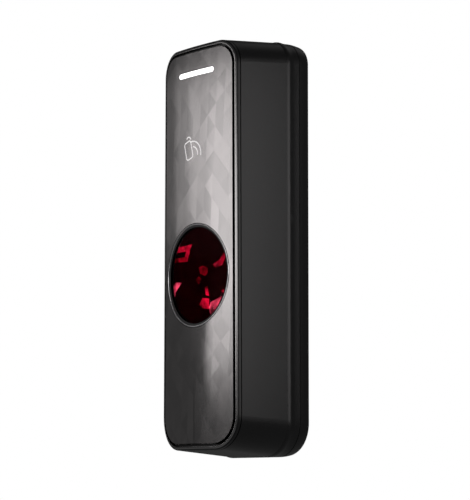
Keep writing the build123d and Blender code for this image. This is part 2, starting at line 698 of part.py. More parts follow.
coil_z = sum(ANTENNA_SCREW_Z) / 2
coil_half_width = ANTENNA_SCREW_X - COIL_MARGIN_X
coil_half_height = (ANTENNA_SCREW_Z[1] - ANTENNA_SCREW_Z[0]) / 2 - COIL_MARGIN_Z
with BuildPart() as antenna_coil:
    with BuildSketch(at_depth(ANTENNA_FRONT)):
        for turn in range(COIL_TURNS):
            step = turn * COIL_PITCH
            left = -coil_half_width + step
            right = coil_half_width - step
            high = coil_z + coil_half_height - step
            low = coil_z - coil_half_height + step
            end = left + COIL_PITCH
            for start, stop in (
                ((left, high), (right, high)),
                ((right, high), (right, low)),
                ((right, low), (end, low)),
                ((end, low), (end, high - COIL_PITCH)),
            ):
                middle = ((start[0] + stop[0]) / 2, (start[1] + stop[1]) / 2)
                width = abs(stop[0] - start[0]) + COIL_TRACK
                height = abs(stop[1] - start[1]) + COIL_TRACK
                with Locations(middle):
                    Rectangle(width, height)
    extrude(amount=COIL_THICK)
save(antenna_coil, "antenna_coil")

with BuildPart() as antenna_screws:
    screws(antenna_places, ANTENNA_BACK, SMALL_HEAD, SMALL_HEAD_HEIGHT, SMALL_SHANK, ANTENNA_FRONT + 1.9, -1)
save(antenna_screws, "antenna_screws")

# ---- main board and what stands on it -----------------------------------------------------
with BuildPart() as main_board:
    slab(
        BOARD_BACK,
        BOARD_FRONT,
        2 * BOARD_HALF_WIDTH,
        BOARD_TOP - BOARD_BOTTOM,
        z=(BOARD_TOP + BOARD_BOTTOM) / 2,
        corner=1.5,
    )
    disc(BOARD_BACK, BOARD_FRONT, BOARD_CABLE_HOLE, z=CABLE_Z, mode=Mode.SUBTRACT)
    for x, z in board_places:
        disc(BOARD_BACK, BOARD_FRONT, SMALL_SHANK + HOLE_GAP, x, z, mode=Mode.SUBTRACT)
save(main_board, "main_board")

with BuildPart() as board_screws:
    screws(board_places, BOARD_FRONT, SMALL_HEAD, SMALL_HEAD_HEIGHT, SMALL_SHANK, COVER_INSIDE + 1, 1)
save(board_screws, "board_screws")

with BuildPart() as cover_screws:
    screws(cover_places, COVER_FACE + 1.5, COVER_HEAD, 1.3, COVER_SHANK, 14, -1)
save(cover_screws, "cover_screws")

with BuildPart() as board_connector:
    slab(BOARD_FRONT, CAMERA_BOARD_BACK, *BRIDGE, z=WINDOW_Z)
save(board_connector, "board_connector")


def on_board(size, place, corner=0.0):
    """Block of (width, height, thickness) that stands on the main board at (x, z)."""
    width, height, thickness = size
    slab(BOARD_FRONT, BOARD_FRONT + thickness, width, height, *place, corner=corner)


with BuildPart() as processor:
    on_board(PROCESSOR, PROCESSOR_PLACE)
    chamfer(processor.edges().filter_by(Axis.Y), 0.5)
save(processor, "processor")

with BuildPart() as memory_chips:
    for x in (-MEMORY_X, MEMORY_X):
        on_board(MEMORY, (x, MEMORY_Z))
save(memory_chips, "memory_chips")

pin_places = [((pin - (PIN_COUNT - 1) / 2) * PIN_PITCH, PIN_HEADER_Z) for pin in range(PIN_COUNT)]
with BuildPart() as header_block:
    on_board(PIN_HEADER, (0, PIN_HEADER_Z))
    for x, z in pin_places:
        disc(BOARD_FRONT, ANTENNA_BACK, PIN_RADIUS + PIN_GAP, x, z, mode=Mode.SUBTRACT)
save(header_block, "header_block")

with BuildPart() as antenna_pins:
    for x, z in pin_places:
        disc(BOARD_FRONT, ANTENNA_BACK, PIN_RADIUS, x, z)
save(antenna_pins, "antenna_pins")

can_width, can_height, can_rise = CAN
can_roof = BOARD_FRONT + can_rise - CAN_SHEET
with BuildPart() as shield_can:
    on_board(CAN, (0, CAN_Z), corner=2 * CAN_SHEET)
    slab(
        BOARD_FRONT,
        can_roof,
        can_width - 2 * CAN_SHEET,
        can_height - 2 * CAN_SHEET,
        z=CAN_Z,
        corner=CAN_SHEET,
        mode=Mode.SUBTRACT,
    )
save(shield_can, "shield_can")

with BuildPart() as radio_chip:
    on_board(RADIO, (0, CAN_Z))
save(radio_chip, "radio_chip")

with BuildPart() as relay:
    on_board(RELAY, RELAY_PLACE, corner=0.8)
save(relay, "relay")

with BuildPart() as transformer:
    on_board(TRANSFORMER, TRANSFORMER_PLACE)
save(transformer, "transformer")

buzzer_top = BOARD_FRONT + BUZZER_HEIGHT
with BuildPart() as buzzer:
    disc(BOARD_FRONT, buzzer_top, BUZZER_RADIUS, *BUZZER_PLACE)
    disc(buzzer_top - 1, buzzer_top, BUZZER_PORT, *BUZZER_PLACE, mode=Mode.SUBTRACT)
save(buzzer, "buzzer")

with BuildPart() as backup_cell:
    disc(BOARD_FRONT, BOARD_FRONT + CELL_THICK, CELL_RADIUS, *CELL_PLACE)
    fillet(backup_cell.edges().filter_by(GeomType.CIRCLE).sort_by(Axis.Y)[0], CELL_ROUND)
save(backup_cell, "backup_cell")

header_width, header_height, header_rise = CABLE_HEADER
header_floor = BOARD_FRONT + CABLE_HEADER_FLOOR
with BuildPart() as cable_header:
    on_board(CABLE_HEADER, (0, CABLE_HEADER_Z))
    slab(
        header_floor,
        BOARD_FRONT + header_rise,
        header_width - 2 * CABLE_HEADER_WALL,
        header_height - 2 * CABLE_HEADER_WALL,
        z=CABLE_HEADER_Z,
        mode=Mode.SUBTRACT,
    )
save(cable_header, "cable_header")

with BuildPart() as header_pins:
    for pin in range(CABLE_PIN_COUNT):
        x = (pin - (CABLE_PIN_COUNT - 1) / 2) * CABLE_PIN_PITCH
        disc(header_floor, header_floor + CABLE_PIN_LENGTH, CABLE_PIN_RADIUS, x, CABLE_HEADER_Z)
save(header_pins, "header_pins")

with BuildPart() as cable_grommet:
    disc(COVER_FACE, SEAM, GROMMET_RADIUS, z=CABLE_Z)
    disc(SEAM, SEAM + GROMMET_LIP, GROMMET_FLANGE, z=CABLE_Z)
    disc(COVER_FACE, SEAM + GROMMET_LIP, GROMMET_BORE, z=CABLE_Z, mode=Mode.SUBTRACT)
save(cable_grommet, "cable_grommet")

# ---- rear switches ------------------------------------------------------------------------
flange_back = COVER_INSIDE + FLANGE_GAP
flange_front = flange_back + FLANGE_THICK
for switch, pin, x, radius, tip in (
    ("tamper_switch", "tamper_plunger", SWITCH_X, PLUNGER_RADIUS, TAMPER_TIP),
    ("reset_switch", "reset_button", -SWITCH_X, BUTTON_RADIUS, RESET_TIP),
):
    with BuildPart() as switch_body:
        slab(SWITCH_BACK, BOARD_BACK, SWITCH_SIDE, SWITCH_SIDE, x, SERVICE_Z, corner=0.5)
        disc(SWITCH_BACK, BOARD_BACK - 1.2, radius + 1, x, SERVICE_Z, mode=Mode.SUBTRACT)
    save(switch_body, switch)
    with BuildPart() as moving_pin:
        disc(tip, flange_front + 0.3, radius, x, SERVICE_Z)
        disc(flange_back, flange_front, radius + FLANGE_WIDTH, x, SERVICE_Z)
    save(moving_pin, pin)

# ---- bottom fixing screw ------------------------------------------------------------------
washer_top = TAB_TOP - STEEL - SHANK_GAP
washer_bottom = washer_top - WASHER_THICK
with BuildPart() as screw_insert:
    upright(INSERT_BOTTOM, INSERT_TOP, INSERT_RADIUS, FIXING_DEPTH)
    upright(INSERT_BOTTOM, INSERT_TOP, SHANK_RADIUS + SLIP, FIXING_DEPTH, mode=Mode.SUBTRACT)
save(screw_insert, "screw_insert")

with BuildPart() as screw_washer:
    upright(washer_bottom, washer_top, WASHER_RADIUS, FIXING_DEPTH)
    upright(washer_bottom, washer_top, SHANK_RADIUS + SLIP, FIXING_DEPTH, mode=Mode.SUBTRACT)
save(screw_washer, "screw_washer")

head_bottom = washer_bottom - HEAD_HEIGHT
with BuildPart() as fixing_screw:
    upright(head_bottom, washer_bottom, HEAD_RADIUS, FIXING_DEPTH)
    upright(washer_bottom, INSERT_TOP - INSERT_MARGIN, SHANK_RADIUS, FIXING_DEPTH)
    with BuildSketch(Plane.XY.offset(head_bottom)):
        with Locations((0, -FIXING_DEPTH)):
            RegularPolygon(HEX_RADIUS, 6)
    extrude(amount=HEX_DEPTH, mode=Mode.SUBTRACT)
save(fixing_screw, "fixing_screw")
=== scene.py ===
"""Looks of the wall reader: finely meshed front pieces, materials, lights, floor and camera.

Helper functions take millimetres, as (x, z) on the front and as a distance behind its crown.
"""

import json
import math

import bmesh
import bpy
from mathutils import Matrix, Vector


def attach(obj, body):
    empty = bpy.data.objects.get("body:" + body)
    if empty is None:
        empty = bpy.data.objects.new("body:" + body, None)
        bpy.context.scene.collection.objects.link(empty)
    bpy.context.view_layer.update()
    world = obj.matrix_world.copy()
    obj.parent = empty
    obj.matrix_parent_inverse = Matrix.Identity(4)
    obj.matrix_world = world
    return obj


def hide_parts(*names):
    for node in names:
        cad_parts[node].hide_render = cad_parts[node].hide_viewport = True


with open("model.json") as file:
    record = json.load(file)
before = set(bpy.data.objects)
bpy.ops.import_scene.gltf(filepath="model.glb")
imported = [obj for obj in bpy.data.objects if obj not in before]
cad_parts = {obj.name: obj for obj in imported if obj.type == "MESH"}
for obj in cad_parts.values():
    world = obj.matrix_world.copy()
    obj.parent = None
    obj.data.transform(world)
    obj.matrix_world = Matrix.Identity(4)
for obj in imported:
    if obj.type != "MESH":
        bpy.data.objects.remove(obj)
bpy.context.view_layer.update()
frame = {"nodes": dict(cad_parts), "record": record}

# ---- casing sizes, shared with the CAD part ------------------------------------------------
DEPTH = 38.4
REAR_GAP = 0.5
CROWN_RADIUS = 130.0
HALF_WIDTH_TOP = (25.6, 24.0)  # at the rear, at the front
HALF_WIDTH_BOTTOM = (25.3, 24.71)
TOP = (81.3, 78.7)
BOTTOM = (-82.5, -79.0)
RADIUS_TOP = (9.5, 10.0)
RADIUS_BOTTOM = (14.0, 12.8)
PLATE_FRONT = 0.1
PLATE_BACK = 1.4
PLATE_INSET = 2.34
TRIM_FRONT = 0.2
TRIM_SEAT = 1.6
TRIM_WIDTH = 1.34
BEVEL_WIDTH = 0.9
BEVEL_DEPTH = 0.5
WINDOW_Z = -11.6
RING_RADIUS = 20.14
WINDOW_RADIUS = 18.8
GLASS_FRONT = 0.5
GLASS_BACK = 1.7
PRISM_FRONT = 2.0
PRISM_RADIUS = 16.8
PRISM_REAR_RADIUS = 9.0
PRISM_BACK = 24.0
PRISM_SHOULDER = 33.5
LIGHT_Z = 67.9
LIGHT_LENGTH = 22.6
LIGHT_HEIGHT = 2.0
SLIP = 0.05  # clearance between neighbouring pieces
MM = 0.001

# ---- fineness of the meshes ----------------------------------------------------------------
CORNER_STEPS = 16
POINT_SPACING = 1.5
CIRCLE_POINTS = 128
SMALL_STEPS = 8  # in the corners and ends of small shapes
SMALL_SPACING = 1.0
ARC_STEPS = 24


# ---- shape helpers -------------------------------------------------------------------------
def crown_depth(x, set_back):
    """Distance from the wall of the crown's skin, set_back behind it."""
    return math.sqrt((CROWN_RADIUS - set_back) ** 2 - x * x) - (CROWN_RADIUS - DEPTH)


def crown_normal(x, set_back):
    """Direction that the crown's skin faces."""
    radius = CROWN_RADIUS - set_back
    return Vector((x / radius, -math.sqrt(radius * radius - x * x) / radius, 0))


def on_crown(x, z, set_back):
    """Place in metres of a point (x, z) of the front."""
    return Vector((x * MM, -crown_depth(x, set_back) * MM, z * MM))


def rounded(corners, radii, arc_steps, spacing):
    """Closed outline of (x, z) with rounded corners and its straight runs divided."""
    points = []
    count = len(corners)
    for i in range(count):
        corner = Vector(corners[i])
        back = (Vector(corners[i - 1]) - corner).normalized()
        ahead = (Vector(corners[(i + 1) % count]) - corner).normalized()
        half = math.acos(max(-1, min(1, back.dot(ahead)))) / 2
        centre = corner + (back + ahead).normalized() * radii[i] / math.sin(half)
        first = corner + back * radii[i] / math.tan(half) - centre
        last = corner + ahead * radii[i] / math.tan(half) - centre
        sweep = first.angle_signed(last)
        for step in range(arc_steps + 1):
            turned = Matrix.Rotation(-sweep * step / arc_steps, 2) @ first
            points.append(centre + turned)
    divided = []
    for i, point in enumerate(points):
        after = points[(i + 1) % len(points)]
        steps = max(1, round((after - point).length / spacing))
        divided += [point.lerp(after, step / steps) for step in range(steps)]
    return divided


def casing_outline(inset, set_back):
    """The casing's outline moved inwards, every point taken at its own depth on the crown."""

    def at(depth):
        share = (depth - REAR_GAP) / (DEPTH - REAR_GAP)
        top, bottom, high, low, round_top, round_bottom = (
            rear + (front - rear) * share
            for rear, front in (
                HALF_WIDTH_TOP,
                HALF_WIDTH_BOTTOM,
                TOP,
                BOTTOM,
                RADIUS_TOP,
                RADIUS_BOTTOM,
            )
        )
        top -= inset
        bottom -= inset
        high -= inset
        low += inset
        corners = [(-bottom, low), (bottom, low), (top, high), (-top, high)]
        radii = [round_bottom - inset] * 2 + [round_top - inset] * 2
        return rounded(corners, radii, CORNER_STEPS, POINT_SPACING)

    front = at(DEPTH)
    count = len(front)
    points = []
    for i, point in enumerate(front):
        here = at(crown_depth(point.x, set_back))
        points.append(here[i] if len(here) == count else point)
    return points


def circle_outline(radius, centre_z):
    turn = 2 * math.pi / CIRCLE_POINTS
    return [
        Vector((radius * math.cos(i * turn), centre_z + radius * math.sin(i * turn)))
        for i in range(CIRCLE_POINTS)
    ]


def outward(points):
    """Outward direction at every point of an anticlockwise outline."""
    directions = []
    for i, point in enumerate(points):
        along = (points[(i + 1) % len(points)] - points[i - 1]).normalized()
        directions.append(Vector((along.y, -along.x)))
    return directions


def finished(name, vertices, normals, faces, body, node, slot_name):
    """Mesh object with its own normals, which rides on a body and stands for a CAD node."""
    mesh = bpy.data.meshes.new(name)
    mesh.from_pydata(vertices, [], faces)
    mesh.shade_smooth()
    mesh.update()
    if normals:
        mesh.normals_split_custom_set_from_vertices(normals)
    thing = bpy.data.objects.new(name, mesh)
    bpy.context.scene.collection.objects.link(thing)
    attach(thing, body)
    if node:
        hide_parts(node)
    return thing


def paint_rows(thing, rows, painted):
    """Gives some rows of a closed sweep the object's second material."""
    faces = len(thing.data.polygons)
    each = faces // rows
    thing.data.polygons.foreach_set(
        "material_index", [int(i // each in painted) for i in range(faces)]
    )


def tilted(x, set_back, side, tilt):
    """Normal that leans from the crown's towards the outline's outward side."""
    facing = crown_normal(x, set_back) * math.cos(math.radians(tilt))
    sideways = Vector((side.x, 0, side.y)) * math.sin(math.radians(tilt))
    return (facing + sideways).normalized()


def swept(outline, profile, closed):
    """Vertices, normals and faces of a profile of (inset, set_back, tilt) along an outline."""
    vertices, normals, faces = [], [], []
    for inset, set_back, tilt in profile:
        points = outline(inset, set_back)
        for point, side in zip(points, outward(points)):
            vertices.append(on_crown(point.x, point.y, set_back))
            normals.append(tilted(point.x, set_back, side, tilt))
    count = len(vertices) // len(profile)
    rows = len(profile)
    for row in range(rows if closed else rows - 1):
        first = row * count
        second = (row + 1) % rows * count
        for i in range(count):
            j = (i + 1) % count
            faces.append((first + i, first + j, second + j, second + i))
    return vertices, normals, faces


def filled(boundaries, set_back):
    """Crowned face between an outer outline and its holes, cut into strips a millimetre wide."""
    shape = bmesh.new()
    edges = []
    for points in boundaries:
        ring = [shape.verts.new((point.x, 0, point.y)) for point in points]
        edges += [shape.edges.new((ring[i - 1], ring[i])) for i in range(len(ring))]
    bmesh.ops.triangle_fill(shape, edges=edges, use_beauty=True, normal=(0, -1, 0))
    reach = int(max(abs(point.x) for point in boundaries[0]))
    for step in range(-reach, reach + 1):
        bmesh.ops.bisect_plane(
            shape,
            geom=shape.verts[:] + shape.edges[:] + shape.faces[:],
            plane_co=(step, 0, 0),
            plane_no=(1, 0, 0),
        )
    bmesh.ops.recalc_face_normals(shape, faces=shape.faces)
    shape.verts.index_update()
    places = [(vertex.co.x, vertex.co.z) for vertex in shape.verts]
    faces = []
    for face in shape.faces:
        order = [vertex.index for vertex in face.verts]
        faces.append(order if face.normal.y < 0 else order[::-1])
    shape.free()
    vertices = [on_crown(x, z, set_back) for x, z in places]
    normals = [crown_normal(x, set_back) for x, z in places]
    return vertices, normals, faces


def joined(*pieces):
    """Several (vertices, normals, faces) as one."""
    vertices, normals, faces = [], [], []
    for piece_vertices, piece_normals, piece_faces in pieces:
        start = len(vertices)
        vertices += piece_vertices
        normals += piece_normals
        faces += [[start + i for i in face] for face in piece_faces]
    return vertices, normals, faces


def flipped(piece):
    """The same piece facing the other way."""
    vertices, normals, faces = piece
    return vertices, [-normal for normal in normals], [face[::-1] for face in faces]


# ---- material helpers ----------------------------------------------------------------------
GRAIN_LOW = 0.3  # most of a noise texture's values lie between these two
GRAIN_HIGH = 0.7
UNEVEN = 0.1  # share by which a roughness varies
BUMP_DISTANCE = 0.0001


def material(name):
    made = bpy.data.materials.new(name)
    made.use_nodes = True
    tree = made.node_tree
    return made, tree, tree.nodes["Principled BSDF"]


def grain(tree, scale, stretch=(1, 1, 1), detail=4.0):
    """Noise over the object's own coordinates, with scale in features per metre."""
    where = tree.nodes.new("ShaderNodeTexCoord")
    mapping = tree.nodes.new("ShaderNodeMapping")
    mapping.inputs["Scale"].default_value = stretch
    noise = tree.nodes.new("ShaderNodeTexNoise")
    noise.inputs["Scale"].default_value = scale
    noise.inputs["Detail"].default_value = detail
    tree.links.new(where.outputs["Object"], mapping.inputs["Vector"])
    tree.links.new(mapping.outputs["Vector"], noise.inputs["Vector"])
    return noise.outputs["Fac"]


def spread(tree, value, low, high):
    """Noise value stretched to run from low to high."""
    span = tree.nodes.new("ShaderNodeMapRange")
    span.inputs["From Min"].default_value = GRAIN_LOW
    span.inputs["From Max"].default_value = GRAIN_HIGH
    span.inputs["To Min"].default_value = low
    span.inputs["To Max"].default_value = high
    tree.links.new(value, span.inputs["Value"])
    return span.outputs["Result"]


def tint(tree, value, dark, light):
    """Colour between dark and light."""
    blend = tree.nodes.new("ShaderNodeMix")
    blend.data_type = "RGBA"
    blend.inputs["A"].default_value = (*dark, 1)
    blend.inputs["B"].default_value = (*light, 1)
    tree.links.new(value, blend.inputs["Factor"])
    return blend.outputs["Result"]


def finish(
    name,
    colour,
    roughness,
    metallic=0.0,
    scale=900.0,
    stretch=(1, 1, 1),
    change=0.12,
    bump=0.04,
    **extra,
):
    """Material whose colour, roughness and surface vary with a procedural grain."""
    made, tree, shader = material(name)
    value = grain(tree, scale, stretch)
    low = tuple(channel * (1 - change) for channel in colour)
    high = tuple(min(1.0, channel * (1 + change)) for channel in colour)
    even = spread(tree, value, 0.0, 1.0)
    tree.links.new(tint(tree, even, low, high), shader.inputs["Base Color"])
    gloss = spread(tree, value, roughness * (1 - UNEVEN), min(1.0, roughness * (1 + UNEVEN)))
    tree.links.new(gloss, shader.inputs["Roughness"])
    shader.inputs["Metallic"].default_value = metallic
    for socket, number in extra.items():
        shader.inputs[socket.replace("_", " ")].default_value = number
    raised = tree.nodes.new("ShaderNodeBump")
    raised.inputs["Strength"].default_value = bump
    raised.inputs["Distance"].default_value = BUMP_DISTANCE
    tree.links.new(value, raised.inputs["Height"])
    tree.links.new(raised.outputs["Normal"], shader.inputs["Normal"])
    made.diffuse_color = (*colour, 1)
    return made


def maths(tree, operation, *values, vector=False):
    """Math node whose inputs are numbers, vectors or sockets."""
    node = tree.nodes.new("ShaderNodeVectorMath" if vector else "ShaderNodeMath")
    node.operation = operation
    for socket, value in zip(node.inputs, values):
        if isinstance(value, bpy.types.NodeSocket):
            tree.links.new(value, socket)
        else:
            socket.default_value = value
    return node.outputs[0]


# ---- materials -----------------------------------------------------------------------------
PLATE_DARK = (0.255, 0.247, 0.247)
PLATE_LIGHT = (0.315, 0.303, 0.303)
PLATE_ROUGHNESS = 0.15
PLATE_METALLIC = 0.85
FACET_CELL = 0.0065  # metres across a pair of facets
FACET_TURN = 41
FACET_LEAN = (0.010, 0.003, 0.010)

CASE_SHADE = (0.007, 0.007, 0.0073)
STEEL_SHADE = (0.55, 0.55, 0.54)
BRASS_SHADE = (0.75, 0.55, 0.25)
LOW_SHEEN = {"Specular_IOR_Level": 0.32}
LONG_Z = (1, 1, 0.03)  # stretches the grain along one axis
LONG_X = (0.03, 1, 1)


def plate_material():
    """Dark glossy sheet with faint diagonal facets, each leaning its own way."""
    made, tree, shader = material("plate_dark_facets")
    where = tree.nodes.new("ShaderNodeTexCoord")
    turned = tree.nodes.new("ShaderNodeMapping")
    turned.inputs["Rotation"].default_value = (0, math.radians(FACET_TURN), 0)
    turned.inputs["Scale"].default_value = (1 / FACET_CELL, 0, 1 / FACET_CELL)
    tree.links.new(where.outputs["Object"], turned.inputs["Vector"])
    corner = maths(tree, "FLOOR", turned.outputs["Vector"], vector=True)
    inside = maths(tree, "SUBTRACT", turned.outputs["Vector"], corner, vector=True)
    parts = tree.nodes.new("ShaderNodeSeparateXYZ")
    tree.links.new(inside, parts.inputs["Vector"])
    upper = maths(tree, "GREATER_THAN", parts.outputs["X"], parts.outputs["Z"])
    mark = tree.nodes.new("ShaderNodeCombineXYZ")
    tree.links.new(upper, mark.inputs["Y"])
    triangle = maths(tree, "ADD", corner, mark.outputs["Vector"], vector=True)
    noise = tree.nodes.new("ShaderNodeTexWhiteNoise")
    noise.noise_dimensions = "3D"
    tree.links.new(triangle, noise.inputs["Vector"])
    centred = maths(tree, "SUBTRACT", noise.outputs["Color"], (0.5, 0.5, 0.5), vector=True)
    leaning = maths(tree, "MULTIPLY", centred, FACET_LEAN, vector=True)
    to_world = tree.nodes.new("ShaderNodeVectorTransform")
    to_world.vector_type = "VECTOR"
    to_world.convert_from = "OBJECT"
    to_world.convert_to = "WORLD"
    tree.links.new(leaning, to_world.inputs["Vector"])
    surface = tree.nodes.new("ShaderNodeNewGeometry")
    summed = maths(tree, "ADD", surface.outputs["Normal"], to_world.outputs["Vector"], vector=True)
    normal = maths(tree, "NORMALIZE", summed, vector=True)
    tree.links.new(normal, shader.inputs["Normal"])
    shade = tint(tree, noise.outputs["Value"], PLATE_DARK, PLATE_LIGHT)
    tree.links.new(shade, shader.inputs["Base Color"])
    smooth = PLATE_ROUGHNESS * (1 - UNEVEN)
    rough = PLATE_ROUGHNESS * (1 + UNEVEN)
    tree.links.new(spread(tree, grain(tree, 2500.0), smooth, rough), shader.inputs["Roughness"])
    shader.inputs["Metallic"].default_value = PLATE_METALLIC
    return made


def red_light(name, colour, strength):
    """Red surface that glows by itself, much brighter in some places than in others: the red LED's
    light, and the painted glow of the prism and its facets.
    """
    made, tree, shader = material(name)
    value = grain(tree, 260.0, detail=2.0)
    cloudy = maths(tree, "POWER", spread(tree, value, 0.25, 1.15), 2.0)
    glow = maths(tree, "MULTIPLY", cloudy, strength)
    tree.links.new(glow, shader.inputs["Emission Strength"])
    shader.inputs["Base Color"].default_value = (0.02, 0.0005, 0.001, 1)
    shader.inputs["Emission Color"].default_value = (*colour, 1)
    shader.inputs["Roughness"].default_value = 0.4
    shader.inputs["Specular IOR Level"].default_value = 0.0
    return made


def glowing(name, colour, strength):
    """Milky light guide with a faintly uneven glow; it also gives the tap symbol's print its painted
    glow.
    """
    made, tree, shader = material(name)
    value = spread(tree, grain(tree, 300.0), 0.93 * strength, strength)
    tree.links.new(value, shader.inputs["Emission Strength"])
    shader.inputs["Emission Color"].default_value = (*colour, 1)
    shader.inputs["Base Color"].default_value = (0.9, 0.9, 0.9, 1)
    shader.inputs["Roughness"].default_value = 0.35
    return made


def glass_material():
    """Dark red window glass with a coating that reflects very little."""
    made, tree, shader = material("window_glass")
    value = grain(tree, 700.0)
    tree.links.new(spread(tree, value, 0.012, 0.03), shader.inputs["Roughness"])
    shader.inputs["Base Color"].default_value = (0.95, 0.8, 0.82, 1)
    shader.inputs["Transmission Weight"].default_value = 1.0
    shader.inputs["IOR"].default_value = 1.03
    return made


def board_material():
    """Green circuit board with fine track lines under the lacquer."""
    made, tree, shader = material("board_green")
    where = tree.nodes.new("ShaderNodeTexCoord")
    bricks = tree.nodes.new("ShaderNodeTexBrick")
    swap = tree.nodes.new("ShaderNodeMapping")
    swap.inputs["Rotation"].default_value = (math.radians(90), 0, 0)
    tree.links.new(where.outputs["Object"], swap.inputs["Vector"])
    tree.links.new(swap.outputs["Vector"], bricks.inputs["Vector"])
    bricks.inputs["Scale"].default_value = 260.0
    bricks.inputs["Mortar Size"].default_value = 0.03
    bricks.inputs["Color1"].default_value = (0.008, 0.07, 0.03, 1)
    bricks.inputs["Color2"].default_value = (0.01, 0.085, 0.036, 1)
    bricks.inputs["Mortar"].default_value = (0.02, 0.15, 0.06, 1)
    tree.links.new(bricks.outputs["Color"], shader.inputs["Base Color"])
    tree.links.new(spread(tree, grain(tree, 800.0), 0.28, 0.4), shader.inputs["Roughness"])
    return made


materials = {
    "bracket_steel": finish("bracket_steel", STEEL_SHADE, 0.34, 1.0, 700.0, LONG_Z),
    "bar_steel": finish("bar_steel", STEEL_SHADE, 0.25, 1.0, 900.0, LONG_X),
    "shell": finish("shell_black", CASE_SHADE, 0.34, 0.0, 2600.0, change=0.3, bump=0.12, **LOW_SHEEN),
    "seal": finish("seal_rubber", (0.02, 0.02, 0.02), 0.75, 0.0, 1500.0, bump=0.1),
    "trim": finish("trim_bright", (0.3, 0.295, 0.295), 0.16, 1.0, 1200.0, change=0.05, bump=0.01),
    "plate": plate_material(),
    "tape": finish("tape_grey", (0.09, 0.09, 0.095), 0.7, 0.0, 1800.0, bump=0.1),
    "light_guide": glowing("light_guide", (1.0, 0.98, 0.98), 2.2),
    "white_led": glowing("white_led", (1.0, 0.97, 0.9), 1.0),
    "board": board_material(),
    "copper": finish("copper", (0.7, 0.32, 0.17), 0.3, 1.0, 1200.0),
    "pins": finish("pin_gold", (0.85, 0.65, 0.32), 0.25, 1.0, 1500.0),
    "black_nylon": finish("black_nylon", (0.015, 0.015, 0.016), 0.5, 0.0, 1800.0, bump=0.08),
    "white_nylon": finish("white_nylon", (0.75, 0.74, 0.7), 0.45, 0.0, 1500.0, change=0.03),
    "screw_steel": finish("screw_steel", (0.5, 0.5, 0.51), 0.25, 1.0, 1400.0),
    "ring_chrome": finish("ring_chrome", (0.75, 0.75, 0.76), 0.1, 1.0, 1500.0, change=0.03, bump=0.01),
    "window_glass": glass_material(),
    # the dark prism faintly glows red by itself: a painted red glow
    "prism_glass": red_light("prism_dark_painted_glow", (0.3, 0.004, 0.02), 0.006),
    "lens_glass": finish("lens_glass", (0.03, 0.03, 0.06), 0.05, 0.0, 600.0, Coat_Weight=1.0),
    "red_led": red_light("red_led", (1.0, 0.04, 0.08), 2.0),
    "chip": finish("chip_black", (0.018, 0.018, 0.018), 0.55, 0.0, 2200.0, bump=0.1),
    "shield_steel": finish("shield_steel", (0.7, 0.7, 0.68), 0.3, 1.0, 900.0, LONG_X),
    "relay_case": finish("relay_case", (0.03, 0.1, 0.3), 0.35, 0.0, 1200.0),
    "cell_steel": finish("cell_steel", (0.75, 0.75, 0.73), 0.22, 1.0, 1100.0),
    "button_red": finish("button_red", (0.5, 0.02, 0.02), 0.4, 0.0, 1300.0),
    "brass_insert": finish("brass_insert", BRASS_SHADE, 0.25, 1.0, 1100.0, LONG_Z),
}

# every CAD node gets its slot's material
for part in frame["record"]["subparts"]:
    mesh = frame["nodes"][part["node"]].data
    mesh.materials.clear()
    mesh.materials.append(materials[part["material_slot"]])


# ---- front pieces --------------------------------------------------------------------------
def covered(outline, edge, set_back, back, name, body, node, slot_name, holes=()):
    """Crowned piece with a rounded front edge, a closed back and any round-edged holes."""
    profile = [
        (edge, set_back, 0),
        (edge * 0.5, set_back + edge * 0.13, 30),
        (edge * 0.13, set_back + edge * 0.5, 60),
        (0, set_back + edge, 88),
        (0, back, 90),
    ]
    pieces = [swept(outline, profile, False)]
    fronts = [outline(edge, set_back)]
    backs = [outline(0, back)]
    for hole in holes:
        inside = [(inset, level, -tilt) for inset, level, tilt in profile]
        pieces.append(swept_hole(hole, inside))
        fronts.append(hole(-edge, set_back))
        backs.append(hole(0, back))
    pieces.append(filled(fronts, set_back))
    pieces.append(flipped(filled(backs, back)))
    thing = finished(name, *joined(*pieces), body, node, slot_name)
    thing.data.materials.append(materials[slot_name])
    return thing


def swept_hole(hole, profile):
    """Wall of a hole: the same sweep as an outline's, turned to face into the opening."""
    vertices, normals, faces = swept(lambda inset, level: hole(-inset, level), profile, False)
    return vertices, normals, [face[::-1] for face in faces]


def window_hole(inset, set_back):
    return circle_outline(RING_RADIUS + SLIP - inset, WINDOW_Z)


def light_outline(inset, set_back):
    half_length = LIGHT_LENGTH / 2 - inset
    half_height = LIGHT_HEIGHT / 2 - inset
    corners = [
        (-half_length, LIGHT_Z - half_height),
        (half_length, LIGHT_Z - half_height),
        (half_length, LIGHT_Z + half_height),
        (-half_length, LIGHT_Z + half_height),
    ]
    return rounded(corners, [half_height - 0.01] * 4, SMALL_STEPS, SMALL_SPACING)


def light_hole(inset, set_back):
    return light_outline(inset - SLIP, set_back)


def plate_outline(inset, set_back):
    return casing_outline(PLATE_INSET + inset, set_back)


PLATE_EDGE = 0.14
LIGHT_EDGE = 0.12
GLASS_EDGE = 0.2
LIGHT_GUIDE_BACK = 6.4
covered(
    plate_outline,
    PLATE_EDGE,
    PLATE_FRONT,
    PLATE_BACK - SLIP,
    "front_plate_sheet",
    "reader",
    "front_plate",
    "plate",
    (window_hole, light_hole),
)
covered(
    light_outline,
    LIGHT_EDGE,
    PLATE_FRONT,
    LIGHT_GUIDE_BACK,
    "light_bar_guide",
    "reader",
    "light_bar",
    "light_guide",
)
